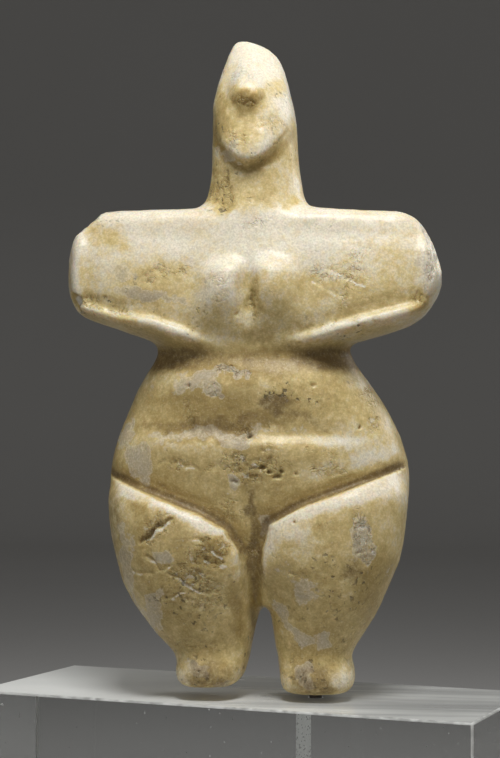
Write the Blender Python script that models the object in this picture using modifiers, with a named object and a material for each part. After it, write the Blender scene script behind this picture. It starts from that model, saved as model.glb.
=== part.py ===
"""A small marble idol of a standing woman, carried by a metal pin on a clear acrylic block.

The figure is one piece of marble. It is built up from lofted masses (hips, two legs, the bar of the arms,
neck with head), fused into one skin, and then carved: the face, the breasts, the folded arms, the belly, the
thighs and the back are reliefs worked out by functions. It faces -Y, and +X is at the right of someone who
looks at its face.

The figure's proportions are written in figure units, which are shares of its own height. All other sizes are
in metres.
"""
import math

import bmesh
import bpy
import numpy as np
from mathutils import Matrix, Vector

# Figure
FIGURE_HEIGHT = 0.1553
FIGURE_UNITS = 1015         # its height in the units that its proportions are written in
UNIT = FIGURE_HEIGHT / FIGURE_UNITS
SKIN_GRID = 5.9 * UNIT      # grid of the fused skin before it is thinned out
SKIN_TRIANGLES = 9300       # triangles that are kept for the figure
SIDE_LINE = 0.46            # where a section is widest, as a share of its depth from the front
ARMS_FULLEST = 0.38         # where the bar of the arms is deepest, as a share of its height from below

# Mounting pin and the holes that take it
PIN_DIAMETER = 0.003
PIN_IN_FOOT = 0.012
PIN_IN_BLOCK = 0.022
PIN_CHAMFER = 0.0003
FIT_CLEARANCE = 0.0003      # around the pin and past both of its ends
FEET_ABOVE_BLOCK = 0.0016

# Clear block
BLOCK_WIDTH = 0.124
BLOCK_DEPTH = 0.050
BLOCK_HEIGHT = 0.040
BLOCK_EDGE = 0.0004
BLOCK_TURN = math.radians(-17.0)
PIN_RIGHT_OF_BLOCK_CENTRE = 0.0177
PIN_AHEAD_OF_BLOCK_CENTRE = 0.0032

# How finely round things are divided
RING_SIDES = 56
RINGS_PER_MASS = 44
ROUND_SIDES = 32
CUTTER_OVERSHOOT = 0.002

# The hole in the foot, in figure units
FOOT_HOLE_X = 94
FOOT_HOLE_Y = 0

# How often the skin is softened: the fused masses, their joins, the carved skin, its plain panel
SOFTEN_FACTOR = 0.5
SOFTEN_COUNTS = {"masses": 6, "joins": 26, "carving": 2, "panel": 12}

# Masses. Each row is one section, in figure units.
# Upright masses: height, left side, right side, front, back, squareness.
HIPS = (
    (132, -140, 152, -62, 78, 2.2),
    (182, -197, 204, -84, 120, 2.3),
    (231, -217, 225, -92, 152, 2.4),
    (280, -226, 233, -97, 173, 2.4),
    (320, -229, 238, -98, 182, 2.4),
    (379, -219, 227, -96, 175, 2.4),
    (428, -199, 205, -91, 148, 2.3),
    (478, -174, 173, -86, 112, 2.2),
    (498, -160, 158, -80, 94, 2.2),
    (512, -153, 150, -72, 82, 2.2),
    (590, -150, 144, -60, 70, 2.2),
)
LEG_AT_LEFT = (
    (9, -108, -33, -62, 46, 2.8),
    (15, -116, -23, -71, 56, 2.8),
    (36, -119, -12, -74, 60, 2.6),
    (58, -121, -6, -65, 56, 2.5),
    (78, -143, -2, -70, 66, 2.4),
    (112, -171, 6, -84, 86, 2.3),
    (136, -188, 11, -93, 98, 2.3),
    (160, -201, 22, -100, 108, 2.4),
    (206, -215, 44, -110, 128, 2.4),
    (260, -226, 38, -111, 140, 2.4),
    (305, -226, 18, -100, 140, 2.3),
    (350, -204, -12, -66, 120, 2.3),
)
LEG_AT_RIGHT = (
    (0, 51, 141, -62, 46, 2.8),
    (6, 44, 150, -71, 56, 2.8),
    (30, 41, 155, -74, 60, 2.6),
    (56, 36, 149, -65, 56, 2.5),
    (78, 32, 161, -70, 66, 2.4),
    (112, 27, 183, -84, 86, 2.3),
    (136, 22, 195, -93, 98, 2.3),
    (160, 10, 206, -100, 108, 2.4),
    (206, -22, 225, -110, 128, 2.4),
    (260, -16, 233, -111, 140, 2.4),
    (310, 2, 235, -102, 140, 2.3),
    (355, 26, 210, -66, 120, 2.3),
)
NECK_AND_HEAD = (
    (630, -150, 148, -60, 72, 2.2),
    (690, -112, 110, -82, 72, 2.2),
    (728, -88, 88, -68, 70, 2.2),
    (750, -76, 79, -59, 69, 2.2),
    (784, -69, 72, -55, 68, 2.2),
    (824, -66, 68, -56, 70, 2.2),
    (877, -66, 64, -46, 76, 2.2),
    (904, -67, 59, -44, 79, 2.2),
    (930, -62, 53, -30, 80, 2.2),
    (957, -56, 45, -11, 76, 2.2),
    (984, -48, 34, 9, 68, 2.1),
    (1002, -41, 13, 26, 59, 2.1),
    (1015, -35, -20, 37, 48, 2.0),
)
# The bar of the arms: distance to the right, underside, top, front, back, squareness.
ARM_BAR = (
    (-289, 608, 672, -30, 36, 2.3),
    (-283, 592, 690, -52, 54, 2.5),
    (-271, 577, 712, -67, 66, 2.6),
    (-247, 567, 734, -79, 74, 2.7),
    (-197, 550, 739, -88, 78, 2.7),
    (-120, 524, 740, -94, 80, 2.7),
    (0, 513, 742, -96, 80, 2.7),
    (120, 524, 738, -94, 80, 2.7),
    (197, 543, 733, -88, 78, 2.7),
    (246, 562, 724, -79, 74, 2.7),
    (271, 583, 693, -67, 64, 2.6),
    (283, 606, 659, -48, 50, 2.4),
    (288, 620, 644, -28, 32, 2.3),
)

# Carved lines, as points (distance to the right, height) from left to right.
THIGH_LINE_LEFT = ((-222, 328), (-139, 297), (-76, 273), (-36, 250), (-16, 218), (-4, 130))
THIGH_LINE_RIGHT = ((16, 130), (21, 222), (30, 257), (78, 283), (138, 305), (222, 338))
FOREARM_LINE = (
    (-268, 595),
    (-204, 575),
    (-150, 569),
    (-96, 550),
    (-66, 534),
    (0, 526),
    (80, 540),
    (133, 559),
    (261, 590),
)
# The belly's ledge: its height at the middle, and how much it falls for each unit to the right.
BELLY_LEDGE = 386
LEDGE_FALL = 0.035
# Where the panel between belly and thighs lies at its centre: height, depth from the figure's middle.
PANEL_FRONT = (
    (95, 20),
    (132, -26),
    (160, -48),
    (200, -66),
    (250, -79),
    (290, -86),
    (330, -92),
    (BELLY_LEDGE, -93),
)
# The panel's curve from side to side: its middle, half width, the depth of its side edges, squareness.
PANEL_CURVE = (4, 234, 31, 2.4)
# The face's rim at the neck: its lowest place, how much it rises to the left and to the right, its edge.
CHIN = (-5, 803)
RIM_RISE_LEFT = (62, 84)
RIM_RISE_RIGHT = (68, 82)
RIM_CURVE = 2.2
RIM_EDGE = (-6, 4)

# Where the reliefs of the arms and of the head start and where each is full, going up.
ARMS_START = (520, 534)
FOREARM_START = (510, 520)
HEAD_START = (740, 760)

# The carving of each place, in figure units. The face is forward by a share of the neck's depth.
FACE = {"forward": 0.3, "ends": 122, "fades_over": 50}
NOSE = {
    "tip": 908,
    "root": 1000,
    "height": 31,
    "under_tip": (-32, 16),
    "middle": -6,
    "lean": 0.06,
    "half": 14,
    "half_at_tip": 42,
    "half_below": 16,
}
MOUTH = {"below_nose": 36, "half_height": 36, "half_width": 42, "depth": 3}
BREAST = {
    "top": 666,
    "shelf": 28,
    "full_to": 46,
    "ends": 118,
    "height": 20,
    "middle": -2,
    "reach": 30,
    "spread": 0.12,
    "half_width": 46,
    "cleft": 13,
}
CHEST = {"step": 9, "middle_share": 0.4, "slant": 10, "slant_height": 150, "elbow_fold": 4}
FOREARM = {"height": 13, "below_line": 13, "half_width": 26, "middle_share": 0.4}
BELLY = {"centre": 462, "half_height": 48, "height": 2, "under": 13, "ledge": (-7, 9), "groove": 9}
# How the thighs round over towards the panel: width of the rounding and its depth.
THIGH_EDGE_LEFT = (22, 6)
THIGH_EDGE_RIGHT = (36, 8)
BACK = {"spine": 6, "arm_ends": 5}
BUTTOCKS = {"centre": 330, "height": 13, "cleft": 24, "fold": 5, "fold_level": 214}


def clear_scene():
    for obj in list(bpy.data.objects):
        bpy.data.objects.remove(obj, do_unlink=True)
    for collection in list(bpy.data.collections):
        bpy.data.collections.remove(collection)


def make_collection(name):
    collection = bpy.data.collections.new(name)
    bpy.context.scene.collection.children.link(collection)
    return collection


def make_material(name, colour, roughness, metallic=0.0, transmission=0.0):
    material = bpy.data.materials.new(name)
    material.use_nodes = True
    shader = material.node_tree.nodes["Principled BSDF"]
    shader.inputs["Base Color"].default_value = (*colour, 1.0)
    shader.inputs["Roughness"].default_value = roughness
    shader.inputs["Metallic"].default_value = metallic
    shader.inputs["Transmission Weight"].default_value = transmission
    return material


def add_object(name, mesh, collection, material=None):
    obj = bpy.data.objects.new(name, mesh)
    collection.objects.link(obj)
    if material:
        mesh.materials.append(material)
    return obj


def smooth_step(low, high, value):
    """0 below low, 1 above high, and a smooth slope between them."""
    share = np.clip((value - low) / (high - low), 0.0, 1.0)
    return share * share * (3 - 2 * share)


def bump(centre, half_width, value):
    """1 at the centre, falling smoothly to 0 at half_width to either side."""
    return 1 - smooth_step(0.0, half_width, np.abs(value - centre))


def line_height(points, across):
    """Height of a carved line at each distance to the right."""
    return np.interp(across, [p[0] for p in points], [p[1] for p in points])


def above_line(points, x, z):
    """Distance of each point from a carved line that runs left to right, positive above it."""
    nearest = np.full(x.shape, np.inf)
    signed = np.zeros(x.shape)
    for (x0, z0), (x1, z1) in zip(points, points[1:]):
        run, rise = x1 - x0, z1 - z0
        along = np.clip(((x - x0) * run + (z - z0) * rise) / (run**2 + rise**2), 0, 1)
        off_x = x - x0 - along * run
        off_z = z - z0 - along * rise
        distance = np.hypot(off_x, off_z)
        nearer = distance < nearest
        signed = np.where(nearer, np.copysign(distance, run * off_z - rise * off_x), signed)
        nearest = np.where(nearer, distance, nearest)
    return signed


def smooth_rows(rows, count):
    """A smooth curve through all the rows of a mass, read at count even steps."""
    rows = np.array(rows, dtype=float)
    place = rows[:, 0]
    slope = np.gradient(rows, place, axis=0)
    wanted = np.linspace(place[0], place[-1], count)
    cell = np.clip(np.searchsorted(place, wanted, side="right") - 1, 0, len(place) - 2)
    width = place[cell + 1] - place[cell]
    t = ((wanted - place[cell]) / width)[:, None]
    width = width[:, None]
    start = (2 * t**3 - 3 * t**2 + 1) * rows[cell] + (t**3 - 2 * t**2 + t) * width * slope[cell]
    end = (3 * t**2 - 2 * t**3) * rows[cell + 1] + (t**3 - t**2) * width * slope[cell + 1]
    return start + end


def section(low, high, front, back, squareness, fullest):
    """A closed outline between four limits, from an ellipse (2) towards a rounded box (3)."""
    middle = low + fullest * (high - low)
    side_line = front + SIDE_LINE * (back - front)
    for step in range(RING_SIDES):
        angle = 2 * math.pi * step / RING_SIDES
        across = math.copysign(abs(math.cos(angle)) ** (2 / squareness), math.cos(angle))
        deep = math.copysign(abs(math.sin(angle)) ** (2 / squareness), math.sin(angle))
        width = high - middle if across > 0 else middle - low
        reach = back - side_line if deep > 0 else side_line - front
        yield middle + width * across, side_line + reach * deep


def loft(bm, rows, along):
    """Join the sections of a mass into one closed skin, along Z for upright masses or X for the arms."""
    rings = []
    fullest = 0.5 if along == "Z" else ARMS_FULLEST
    for place, *limits in smooth_rows(rows, RINGS_PER_MASS):
        ring = []
        for first, deep in section(*limits, fullest):
            spot = (first, deep, place) if along == "Z" else (place, deep, first)
            ring.append(bm.verts.new(Vector(spot) * UNIT))
        rings.append(ring)
    for lower, upper in zip(rings, rings[1:]):
        for step in range(RING_SIDES):
            after = (step + 1) % RING_SIDES
            bm.faces.new((lower[step], lower[after], upper[after], upper[step]))
    bm.faces.new(reversed(rings[0]))
    bm.faces.new(rings[-1])


def fused_masses():
    """All masses in one mesh, fused into one even skin."""
    bm = bmesh.new()
    loft(bm, HIPS, "Z")
    loft(bm, LEG_AT_LEFT, "Z")
    loft(bm, LEG_AT_RIGHT, "Z")
    loft(bm, NECK_AND_HEAD, "Z")
    loft(bm, ARM_BAR, "X")
    bmesh.ops.recalc_face_normals(bm, faces=bm.faces)
    mesh = bpy.data.meshes.new("masses")
    bm.to_mesh(mesh)
    bm.free()
    return mesh


def baked(obj):
    """The object's mesh with its modifiers applied; the object itself is removed."""
    bpy.context.view_layer.update()
    evaluated = obj.evaluated_get(bpy.context.evaluated_depsgraph_get())
    mesh = bpy.data.meshes.new_from_object(evaluated)
    bpy.data.objects.remove(obj, do_unlink=True)
    return mesh


def near_joins(x, y, z):
    """How strongly the fused skin is softened: most where the neck and the waist meet the arms."""
    neck_base = bump(725, 95, z)
    under_arms = bump(500, 30, z)
    return np.maximum(neck_base, 0.4 * under_arms)


def on_panel(x, y, z):
    """How strongly the carved skin is softened: only on the plain panel between belly and thighs."""
    below_ledge = smooth_step(1, 21, -above_belly_ledge(x, z))
    return smooth_step(8, 20, between_thighs(x, z)) * smooth_step(0, 20, -y) * below_ledge


def remeshed(mesh, collection, softenings, where, softenings_there):
    """The mesh on an even grid, softened all over, and again where the skin should run smoothly."""
    obj = add_object("skin", mesh, collection)
    grid_step = obj.modifiers.new("grid", "REMESH")
    grid_step.mode = "VOXEL"
    grid_step.voxel_size = SKIN_GRID
    soften = obj.modifiers.new("soften", "SMOOTH")
    soften.factor = SOFTEN_FACTOR
    soften.iterations = softenings
    skin = baked(obj)
    obj = add_object("skin", skin, collection)
    group = obj.vertex_groups.new(name="smooth places")
    for vertex, weight in zip(skin.vertices, where(*points_of(skin).T)):
        group.add([vertex.index], weight, "REPLACE")
    soften = obj.modifiers.new("soften places", "SMOOTH")
    soften.factor = SOFTEN_FACTOR
    soften.iterations = softenings_there
    soften.vertex_group = group.name
    return baked(obj)


def points_of(mesh):
    """The mesh's points, one row each, in figure units."""
    spots = np.empty(len(mesh.vertices) * 3)
    mesh.vertices.foreach_get("co", spots)
    return spots.reshape(-1, 3) / UNIT


def head_relief(x, y, z):
    """Depth to add on the head's front: the face stands out from the neck at its rim, and has a nose."""
    across = x - CHIN[0]
    left_rise = RIM_RISE_LEFT[1] * (np.abs(across) / RIM_RISE_LEFT[0]) ** RIM_CURVE
    right_rise = RIM_RISE_RIGHT[1] * (np.abs(across) / RIM_RISE_RIGHT[0]) ** RIM_CURVE
    rim = CHIN[1] + np.where(across < 0, left_rise, right_rise)
    fades = 1 - smooth_step(FACE["ends"] - FACE["fades_over"], FACE["ends"], z - CHIN[1])
    face = smooth_step(*RIM_EDGE, z - rim) * FACE["forward"] * fades * np.clip(8 - y, 0, None)

    above_tip = z - NOSE["tip"]
    down_ridge = 1 - smooth_step(6, NOSE["root"] - NOSE["tip"], above_tip)
    at_tip = smooth_step(*NOSE["under_tip"], above_tip)
    nose_rise = NOSE["height"] * down_ridge * at_tip
    nose_half = NOSE["half"] + (NOSE["half_at_tip"] - NOSE["half"]) * down_ridge
    nose_half = NOSE["half_below"] + (nose_half - NOSE["half_below"]) * np.sqrt(at_tip)
    off_ridge = np.abs(x - NOSE["middle"] + NOSE["lean"] * above_tip) / nose_half
    nose = nose_rise * (1 - smooth_step(0.2, 1.0, off_ridge))
    mouth_height = bump(-MOUTH["below_nose"], MOUTH["half_height"], above_tip)
    mouth = MOUTH["depth"] * mouth_height * bump(NOSE["middle"], MOUTH["half_width"], x)
    return mouth - nose - face


def breast(x, z, side):
    """Height of one breast: a shelf on top, the fullest part below it, running out at the forearms."""
    below_top = BREAST["top"] - z
    middle = BREAST["middle"] + side * (BREAST["reach"] + BREAST["spread"] * below_top)
    across = np.clip(np.abs(x - middle) / BREAST["half_width"], 0, 1)
    share = 1 - across**2
    shelf = smooth_step(0, BREAST["shelf"], below_top - 12 * across**2)
    return BREAST["height"] * share * shelf * (1 - smooth_step(BREAST["full_to"], BREAST["ends"], below_top))


def chest_relief(x, z):
    """Depth of the chest's panel between the upper arms and the forearms, and of the breasts on it."""
    line_distance = z - line_height(FOREARM_LINE, x)
    above_forearm = smooth_step(-8, 12, line_distance)
    between_arms = smooth_step(-266, -250, x) * (1 - smooth_step(252, 268, x))
    off_middle = CHEST["middle_share"] + (1 - CHEST["middle_share"]) * smooth_step(20, 100, np.abs(x))
    slant = CHEST["slant"] * smooth_step(0, CHEST["slant_height"], line_distance)
    panel = (CHEST["step"] * off_middle + slant) * above_forearm * (1 - smooth_step(690, 742, z))
    fold = CHEST["elbow_fold"] * bump(6, 14, line_distance)
    away_from_breasts = smooth_step(50, 100, np.abs(x))
    breasts = np.maximum(breast(x, z, -1), breast(x, z, 1))
    below_top = BREAST["top"] - z
    cleft_half = 7 + 0.4 * np.clip(below_top, 0, 40)
    cleft_run = smooth_step(2, 30, below_top) * (1 - smooth_step(74, 119, below_top))
    cleft = BREAST["cleft"] * bump(BREAST["middle"], cleft_half, x) * cleft_run
    return (panel + fold * away_from_breasts) * between_arms - breasts + cleft


def forearm_relief(x, z):
    """How far the forearms swell forward below their upper edge, less where they meet in the middle."""
    below_line = line_height(FOREARM_LINE, x) - z
    swell = bump(FOREARM["below_line"], FOREARM["half_width"], below_line)
    share = FOREARM["middle_share"] + (1 - FOREARM["middle_share"]) * smooth_step(30, 130, np.abs(x))
    return FOREARM["height"] * swell * share * smooth_step(*FOREARM_START, z)


def above_belly_ledge(x, z):
    """How far each point lies above the belly's ledge."""
    return z - BELLY_LEDGE + LEDGE_FALL * x


def belly_relief(x, z):
    """Depth of the belly's folds and of the groove that runs down from them."""
    middle = 1 - smooth_step(60, 215, np.abs(x))
    belly = BELLY["height"] * bump(BELLY["centre"], BELLY["half_height"], z) * middle
    above_ledge = above_belly_ledge(x, z)
    slant = np.clip(1 - above_ledge / 84, 0, 1) ** 1.3
    hollow = BELLY["under"] * smooth_step(*BELLY["ledge"], above_ledge) * slant * middle
    groove_run = smooth_step(-201, -161, above_ledge) * (1 - smooth_step(-111, -41, above_ledge))
    groove = BELLY["groove"] * bump(6, 13, x) * groove_run
    return hollow + groove - belly


def between_thighs(x, z):
    """Distance of each point from the nearer thigh line, positive on the panel that the two lines enclose."""
    return np.minimum(above_line(THIGH_LINE_LEFT, x, z), above_line(THIGH_LINE_RIGHT, x, z))


def thigh_edges(x, z):
    """Depth that rounds the tops of the thighs over towards the panel between them."""
    depth = 0
    for line, (width, deepest) in ((THIGH_LINE_LEFT, THIGH_EDGE_LEFT), (THIGH_LINE_RIGHT, THIGH_EDGE_RIGHT)):
        below = -above_line(line, x, z)
        depth = depth + deepest * np.clip(1 - below / width, 0, 1) ** 2 * (below > 0)
    return depth * smooth_step(190, 235, z)


def thigh_panel(x, y, z):
    """Depth that brings the skin between the thighs back to the panel's own curved floor."""
    middle, half_width, side_depth, squareness = PANEL_CURVE
    across = np.clip(np.abs(x - middle) / half_width, 0, 1)
    section_share = (1 - across**squareness) ** (1 / squareness)
    floor_front = np.interp(z, [p[0] for p in PANEL_FRONT], [p[1] for p in PANEL_FRONT])
    floor = side_depth + (floor_front - side_depth) * section_share
    below_ledge = smooth_step(0, 61, -above_belly_ledge(x, z))
    return np.clip(floor - y, 0, None) * smooth_step(-3, 8, between_thighs(x, z)) * below_ledge


def back_relief(x, z):
    """Depth of the carving behind: spine, buttocks with their cleft and folds, and the arms' ends."""
    spine_run = smooth_step(ARMS_START[0] - 80, ARMS_START[0], z) * (1 - smooth_step(680, 735, z))
    spine = BACK["spine"] * bump(0, 24, x) * spine_run
    above_centre = z - BUTTOCKS["centre"]
    lobes = BUTTOCKS["height"] * bump(0, 125, above_centre) * (bump(-100, 110, x) + bump(104, 110, x))
    cleft = BUTTOCKS["cleft"] * bump(4, 30, x) * bump(-5, 150, above_centre)
    legs_run = smooth_step(-260, -220, above_centre) * (1 - smooth_step(-130, -40, above_centre))
    legs = BUTTOCKS["cleft"] * bump(8, 22, x) * legs_run
    above_fold = z - BUTTOCKS["fold_level"] - 0.0007 * x**2
    fold = BUTTOCKS["fold"] * bump(0, 26, above_fold) * (1 - smooth_step(120, 200, np.abs(x)))
    arm_run = smooth_step(590, 625, z) * (1 - smooth_step(680, 720, z))
    arm_ends = BACK["arm_ends"] * bump(252, 10, np.abs(x)) * arm_run
    return spine + cleft + legs + fold + arm_ends - lobes


def carve(mesh):
    """Push the skin's points in or out along the depth, by the reliefs of the front and the back."""
    spots = points_of(mesh)
    facing = np.empty(spots.size)
    mesh.vertices.foreach_get("normal", facing)
    facing = facing.reshape(-1, 3)[:, 1]
    x, y, z = spots.T
    front = smooth_step(0.12, 0.55, -facing)
    back = smooth_step(0.12, 0.55, facing)
    on_head = smooth_step(*HEAD_START, z)
    on_arms = smooth_step(*ARMS_START, z) * (1 - on_head)
    on_lower = 1 - smooth_step(*ARMS_START, z)
    depth = on_head * head_relief(x, y, z)
    depth += on_arms * chest_relief(x, z)
    depth += on_lower * (belly_relief(x, z) + thigh_edges(x, z)) - forearm_relief(x, z)
    spots[:, 1] += thigh_panel(x, y, z) + front * depth - back * back_relief(x, z)
    mesh.vertices.foreach_set("co", (spots * UNIT).ravel())
    mesh.update()


def cylinder_mesh(name, diameter, length):
    bm = bmesh.new()
    bmesh.ops.create_cone(
        bm, cap_ends=True, segments=ROUND_SIDES, radius1=diameter / 2, radius2=diameter / 2, depth=length
    )
    mesh = bpy.data.meshes.new(name)
    bm.to_mesh(mesh)
    bm.free()
    return mesh


def add_hole(obj, cutters, centre, bottom, top):
    """Cut the pin's round hole through obj between two heights."""
    diameter = PIN_DIAMETER + 2 * FIT_CLEARANCE
    cutter = add_object(obj.name + "_hole", cylinder_mesh("hole", diameter, top - bottom), cutters)
    cutter.location = (centre.x, centre.y, (top + bottom) / 2)
    cutter.hide_render = True
    cutter.display_type = "WIRE"
    cut = obj.modifiers.new("pin hole", "BOOLEAN")
    cut.operation = "DIFFERENCE"
    cut.solver = "EXACT"
    cut.object = cutter


def make_figurine(parts, cutters, pin_centre):
    skin = remeshed(fused_masses(), cutters, SOFTEN_COUNTS["masses"], near_joins, SOFTEN_COUNTS["joins"])
    carve(skin)
    skin = remeshed(skin, cutters, SOFTEN_COUNTS["carving"], on_panel, SOFTEN_COUNTS["panel"])
    marble = make_material("marble", (0.78, 0.70, 0.52), 0.35)
    figure = add_object("marble_figurine", skin, parts, marble)
    sole = BLOCK_HEIGHT + FEET_ABOVE_BLOCK
    figure.location = pin_centre - Vector((FOOT_HOLE_X, FOOT_HOLE_Y, 0)) * UNIT + Vector((0, 0, sole))
    thin_out = figure.modifiers.new("thin out", "DECIMATE")
    thin_out.ratio = SKIN_TRIANGLES / (2 * len(skin.polygons))
    add_hole(figure, cutters, pin_centre, sole - CUTTER_OVERSHOOT, sole + PIN_IN_FOOT + FIT_CLEARANCE)


def make_pin(parts, pin_centre):
    length = PIN_IN_BLOCK + FEET_ABOVE_BLOCK + PIN_IN_FOOT
    metal = make_material("dark_metal", (0.05, 0.045, 0.04), 0.4, metallic=1.0)
    pin = add_object("mounting_pin", cylinder_mesh("pin", PIN_DIAMETER, length), parts, metal)
    pin.location = (pin_centre.x, pin_centre.y, BLOCK_HEIGHT - PIN_IN_BLOCK + length / 2)
    chamfer = pin.modifiers.new("chamfer", "BEVEL")
    chamfer.width = PIN_CHAMFER
    chamfer.segments = 1
    chamfer.limit_method = "ANGLE"


def make_block(parts, cutters, pin_centre):
    bm = bmesh.new()
    bmesh.ops.create_cube(bm, size=1, matrix=Matrix.Diagonal((BLOCK_WIDTH, BLOCK_DEPTH, BLOCK_HEIGHT, 1)))
    mesh = bpy.data.meshes.new("block")
    bm.to_mesh(mesh)
    bm.free()
    acrylic = make_material("clear_acrylic", (0.95, 0.96, 0.96), 0.03, transmission=1.0)
    block = add_object("acrylic_block", mesh, parts, acrylic)
    block.location = (0, 0, BLOCK_HEIGHT / 2)
    block.rotation_euler = (0, 0, BLOCK_TURN)
    edges = block.modifiers.new("edges", "BEVEL")
    edges.width = BLOCK_EDGE
    edges.segments = 2
    bottom = BLOCK_HEIGHT - PIN_IN_BLOCK - FIT_CLEARANCE
    add_hole(block, cutters, pin_centre, bottom, BLOCK_HEIGHT + CUTTER_OVERSHOOT)


def main():
    clear_scene()
    parts = make_collection("marble_figurine_on_stand")
    cutters = make_collection("cutters")
    on_block = Vector((PIN_RIGHT_OF_BLOCK_CENTRE, -PIN_AHEAD_OF_BLOCK_CENTRE, 0))
    pin_centre = Matrix.Rotation(BLOCK_TURN, 3, "Z") @ on_block
    make_figurine(parts, cutters, pin_centre)
    make_pin(parts, pin_centre)
    make_block(parts, cutters, pin_centre)


main()
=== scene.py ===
"""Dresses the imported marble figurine, its mounting pin and its clear block, and sets them on a plain stage.

The marble is a fine skin over the figure's solid, carved and weathered by functions of the place on it.
Places on the figure are in figure units, as in the solid's source: x to the right of someone who looks at its
face, y away from them, z up from the lower foot. All other sizes are in metres.
"""

import math

import bmesh
import bpy
import numpy as np
from mathutils import Matrix, Vector


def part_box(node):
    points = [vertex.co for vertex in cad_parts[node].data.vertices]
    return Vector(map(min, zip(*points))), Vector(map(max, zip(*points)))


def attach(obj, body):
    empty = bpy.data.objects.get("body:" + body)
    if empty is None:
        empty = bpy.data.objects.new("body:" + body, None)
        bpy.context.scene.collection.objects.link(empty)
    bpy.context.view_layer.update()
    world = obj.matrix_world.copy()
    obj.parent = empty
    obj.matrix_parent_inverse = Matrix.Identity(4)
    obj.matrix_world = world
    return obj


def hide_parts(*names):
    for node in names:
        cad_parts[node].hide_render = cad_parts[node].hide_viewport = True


bl_info = {
    "name": "Marble Figurine",
    "version": (1, 0, 0),
    "blender": (4, 5, 0),
    "location": "3D View > Sidebar > Figurine",
    "description": "Builds the weathered marble figurine on its pin and clear block",
    "category": "Object",
}

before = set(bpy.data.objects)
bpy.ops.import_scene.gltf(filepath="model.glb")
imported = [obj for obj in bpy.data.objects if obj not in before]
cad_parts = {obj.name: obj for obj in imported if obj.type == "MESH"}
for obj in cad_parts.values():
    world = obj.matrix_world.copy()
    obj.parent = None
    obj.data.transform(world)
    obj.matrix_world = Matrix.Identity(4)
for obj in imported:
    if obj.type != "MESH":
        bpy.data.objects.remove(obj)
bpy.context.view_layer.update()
FIGURE_LOW, FIGURE_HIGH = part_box("marble_figurine")
PIN_LOW, PIN_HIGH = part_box("mounting_pin")
PIN_CENTRE = (PIN_LOW + PIN_HIGH) / 2

FIGURE_HEIGHT = 0.1553
FIGURE_UNITS_HIGH = 1015
UNIT = FIGURE_HEIGHT / FIGURE_UNITS_HIGH
FOOT_HOLE_X = 94
FIGURE_ORIGIN = Vector((PIN_CENTRE.x - FOOT_HOLE_X * UNIT, PIN_CENTRE.y, FIGURE_LOW.z))

BLOCK_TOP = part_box("acrylic_block")[1].z
BLOCK_TURN = math.radians(-17)
BLOCK_WIDTH = 0.124
BLOCK_DEPTH = 0.050
HOLE_CLEARANCE = 0.0003
HOLE_DEPTH = BLOCK_TOP - PIN_LOW.z + HOLE_CLEARANCE
HOLE_RADIUS = (PIN_HIGH.x - PIN_LOW.x) / 2 + HOLE_CLEARANCE
DRILL_OVER_TOP = 0.002
TOUCH = 0.00001
ACRYLIC_IOR = 1.49
# Materials of the block by their slots
CLEAR, DRILLED, SANDED, UNDERSIDE = range(4)
# A face whose normal has at least this share along an axis of the block is one of its flat sides
FLAT_SIDE = 0.99

# The sheet behind the object runs flat from the front to the bend, then up
FLOOR_FRONT = -6.0
FLOOR_BEND_START = 1.1
FLOOR_BEND = 0.35
FLOOR_BEND_STEPS = 16
FLOOR_TOP = 2.2
FLOOR_HALF_WIDTH = 5.0

# Lights: name, place, size, spread in degrees, and the property that holds the power
LIGHTS = (
    ("light_above", (0.05, -0.20, 0.50), 0.16, 90, "key"),
    ("light_in_front", (-0.20, -0.75, 0.28), 0.5, 180, "fill"),
    ("light_behind", (0.50, 0.28, 0.38), 0.3, 60, "rim"),
)
LIGHT_AIM = Vector((0, 0, 0.13))

# The camera's place is counted from the top of the pin's hole; lens and sensor are in millimetres
CAMERA_LENS = 85.49
CAMERA_SENSOR = 36
CAMERA_TURN = math.radians(6)
CAMERA_PITCH = math.radians(91.57)
CAMERA_ABOVE = 0.063
CAMERA_LEFT = 0.0154
CAMERA_BACK = 0.424

# Carved lines and worn places, in figure units

THIGH_LINE_LEFT = ((-222, 328), (-139, 297), (-76, 273), (-36, 250), (-16, 218), (-4, 130))
THIGH_LINE_RIGHT = ((16, 130), (21, 222), (30, 257), (78, 283), (138, 305), (222, 338))
FOREARM_LINE = (
    (-268, 595),
    (-204, 575),
    (-150, 569),
    (-96, 550),
    (-66, 534),
    (0, 526),
    (80, 540),
    (133, 559),
    (261, 590),
)

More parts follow.
